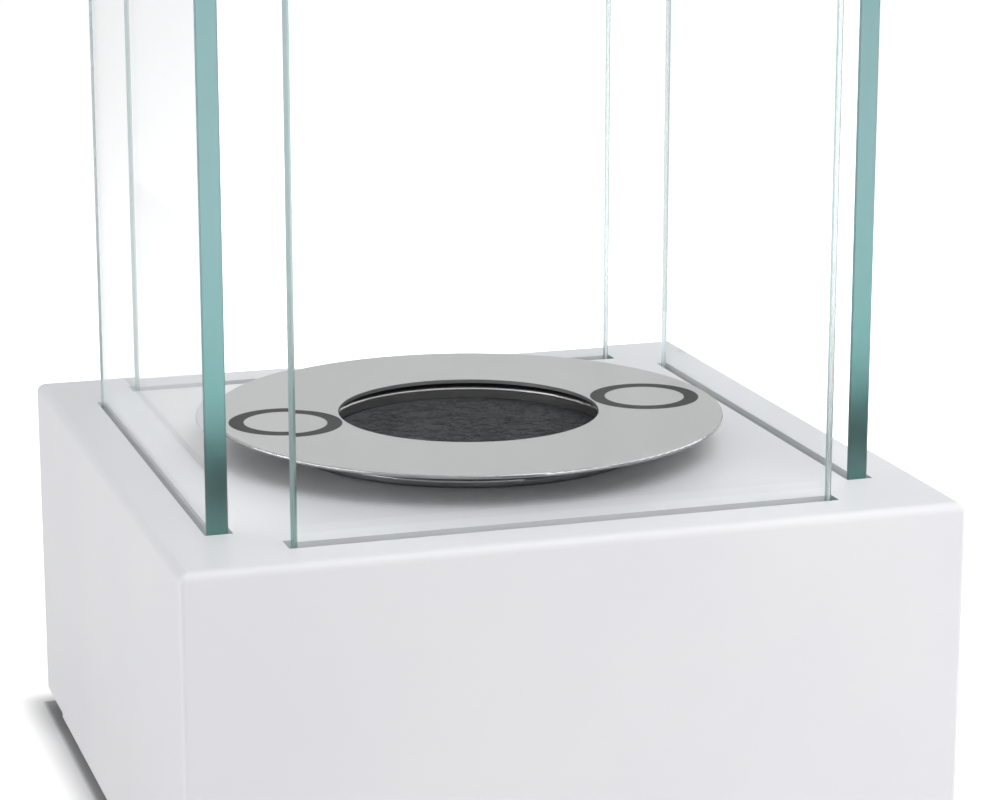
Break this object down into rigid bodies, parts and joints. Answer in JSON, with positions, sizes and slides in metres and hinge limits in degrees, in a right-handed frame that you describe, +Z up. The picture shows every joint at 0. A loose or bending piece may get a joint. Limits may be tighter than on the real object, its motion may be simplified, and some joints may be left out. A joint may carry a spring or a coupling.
{
  "type": "bioethanol fireplace",
  "caption": "Free-standing table-top bioethanol fireplace: a square folded-steel base with a drop-in burner, cup, wick and cover ring, and glass panels that stand in slots round the flame.",
  "frame": {"origin": "middle of the square footprint, on the surface that the feet stand on", "axes": "+Z up along the burner's axis, the front face looks along -Y, +X is to the right seen from the front"},
  "size_m": [0.2, 0.2, 0.35],
  "materials": {
    "white_powder_coat": "satin white powder coat on folded steel",
    "galvanised_sheet": "bright galvanised steel sheet",
    "zinc_screw": "zinc-plated screw",
    "foot_rubber": "matte black moulded rubber",
    "liner_silicone": "grey extruded silicone",
    "tempered_glass": "clear tempered float glass with ground, green-tinged edges",
    "polished_stainless": "bright drawn stainless steel",
    "satin_stainless": "satin stainless steel",
    "fibre_wick": "charcoal-grey compressed ceramic-fibre wool"
  },
  "bodies": {
    "base": {"housing": "white_powder_coat", "bottom_plate": "galvanised_sheet", "bottom_screws": "zinc_screw", "foot_front_left": "foot_rubber", "foot_front_right": "foot_rubber", "foot_back_left": "foot_rubber", "foot_back_right": "foot_rubber", "channel_front": "white_powder_coat", "channel_right": "white_powder_coat", "channel_back": "white_powder_coat", "channel_left": "white_powder_coat", "liner_front": "liner_silicone", "liner_right": "liner_silicone", "liner_back": "liner_silicone", "liner_left": "liner_silicone"},
    "glass_front": {"glass_front": "tempered_glass"},
    "glass_right": {"glass_right": "tempered_glass"},
    "glass_back": {"glass_back": "tempered_glass"},
    "glass_left": {"glass_left": "tempered_glass"},
    "canister": {"burner_canister": "polished_stainless"},
    "cup": {"fuel_cup": "polished_stainless", "wick": "fibre_wick"},
    "cover": {"cover_ring": "satin_stainless", "ring_spigot": "satin_stainless"}
  },
  "joints": [
    {"name": "glass_front_lift", "type": "slide", "parent": "base", "child": "glass_front", "axis": [0, 0, 1], "range_m": [0, 0.04]},
    {"name": "glass_right_lift", "type": "slide", "parent": "base", "child": "glass_right", "axis": [0, 0, 1], "range_m": [0, 0.04]},
    {"name": "glass_back_lift", "type": "slide", "parent": "base", "child": "glass_back", "axis": [0, 0, 1], "range_m": [0, 0.04]},
    {"name": "glass_left_lift", "type": "slide", "parent": "base", "child": "glass_left", "axis": [0, 0, 1], "range_m": [0, 0.04]},
    {"name": "canister_lift", "type": "slide", "parent": "base", "child": "canister", "axis": [0, 0, 1], "range_m": [0, 0.06]},
    {"name": "cup_lift", "type": "slide", "parent": "canister", "child": "cup", "axis": [0, 0, 1], "range_m": [0, 0.056]},
    {"name": "cover_lift", "type": "slide", "parent": "cup", "child": "cover", "axis": [0, 0, 1], "range_m": [0, 0.03]}
  ]
}
